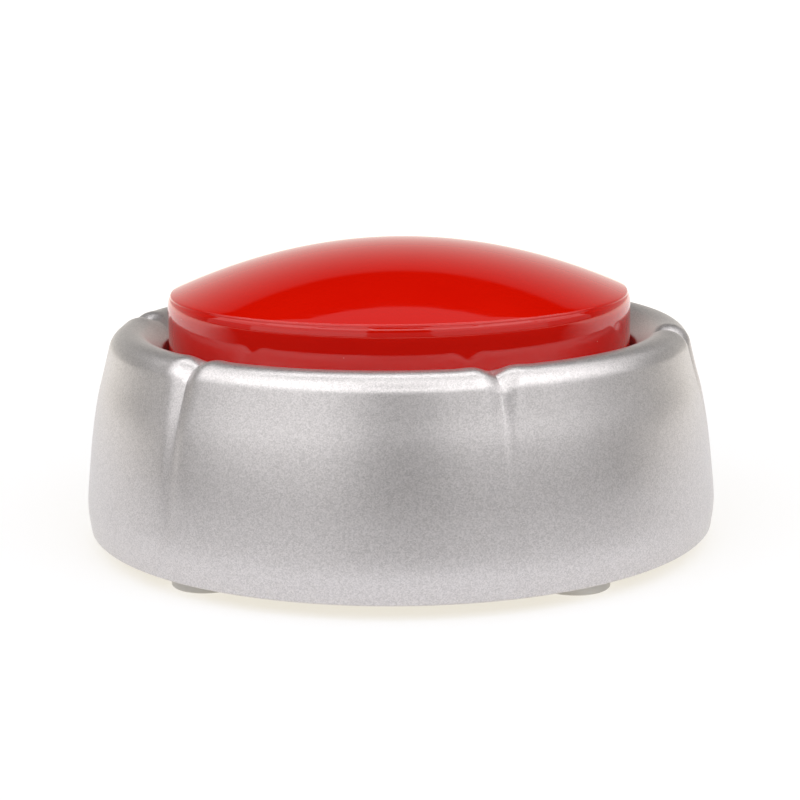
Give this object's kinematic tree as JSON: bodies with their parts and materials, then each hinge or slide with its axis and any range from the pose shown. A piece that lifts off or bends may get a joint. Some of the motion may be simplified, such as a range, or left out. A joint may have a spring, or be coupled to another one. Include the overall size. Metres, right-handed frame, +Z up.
{
  "type": "quiz buzzer",
  "caption": "Table-top quiz buzzer: silver creased ring housing with a large red domed push button, sprung on a tactile switch, with speaker and battery bay below.",
  "frame": {"origin": "centre of the ring on the plane that the four rubber feet rest on", "axes": "+Z up along the button's axis, -Y the front, +X to the right seen from the front"},
  "size_m": [0.0952, 0.0952, 0.0444],
  "materials": {
    "silver_paint": "metallic silver paint with fine flakes, satin",
    "red_gloss": "glossy translucent red plastic",
    "charcoal_plastic": "fine moulded texture",
    "natural_plastic": "plain moulded",
    "grey_rubber": "matte",
    "zinc_steel": "zinc plated",
    "nickel": "nickel plated spring steel",
    "board_green": "solder resist over glass-epoxy",
    "black_epoxy": "moulded epoxy",
    "cell_sleeve": "printed sleeve, no lettering",
    "ferrite": "sintered",
    "red_wire": "wire insulation",
    "black_wire": "wire insulation",
    "cone_paper": "pressed paper"
  },
  "bodies": {
    "housing": {"upper_shell": "silver_paint", "base_plate": "charcoal_plastic", "chassis": "charcoal_plastic", "chassis_screw_1": "zinc_steel", "chassis_screw_2": "zinc_steel", "chassis_screw_3": "zinc_steel", "circuit_board": "board_green", "board_screw_1": "zinc_steel", "board_screw_2": "zinc_steel", "sound_chip": "black_epoxy", "capacitor": "cell_sleeve", "switch_body": "black_epoxy", "speaker_frame": "zinc_steel", "speaker_magnet": "ferrite", "battery_1": "cell_sleeve", "battery_2": "cell_sleeve", "battery_spring_1": "nickel", "battery_spring_2": "nickel", "battery_contact_bridge": "nickel", "battery_contact_minus": "nickel", "battery_contact_plus": "nickel", "battery_lead_plus": "red_wire", "battery_lead_minus": "black_wire", "speaker_lead_1": "red_wire", "speaker_lead_2": "black_wire", "foot_1": "grey_rubber", "foot_2": "grey_rubber", "foot_3": "grey_rubber", "foot_4": "grey_rubber", "case_screw_1": "zinc_steel", "case_screw_2": "zinc_steel", "case_screw_3": "zinc_steel", "case_screw_4": "zinc_steel", "return_spring_1": "zinc_steel", "return_spring_2": "zinc_steel", "return_spring_3": "zinc_steel"},
    "button": {"button_cap": "red_gloss", "button_carrier": "natural_plastic", "carrier_screw_1": "zinc_steel", "carrier_screw_2": "zinc_steel", "carrier_screw_3": "zinc_steel"},
    "stem": {"switch_stem": "natural_plastic"},
    "cone": {"speaker_cone": "cone_paper"},
    "door": {"battery_door": "charcoal_plastic", "battery_door_screw": "zinc_steel"}
  },
  "joints": [
    {"name": "button_press", "type": "slide", "parent": "housing", "child": "button", "axis": [0, 0, -1], "range_m": [0, 0.0025], "stiffness_N_per_m": 700, "springref_m": -0.004, "deforming": ["return_spring_1", "return_spring_2", "return_spring_3"]},
    {"name": "stem_press", "type": "slide", "parent": "housing", "child": "stem", "axis": [0, 0, -1], "range_m": [0, 0.00025]},
    {"name": "cone_throw", "type": "slide", "parent": "housing", "child": "cone", "axis": [0, 0, -1], "range_m": [-0.0003, 0.0003], "stiffness_N_per_m": 400},
    {"name": "door_hinge", "type": "hinge", "parent": "housing", "child": "door", "pos_m": [-0.02495, 0.01165, 0.0023], "axis": [0, 1, 0], "range_deg": [0, 75]}
  ],
  "couplings": [
    {"joint": "stem_press", "follows": "button_press", "ratio": 0.1}
  ]
}
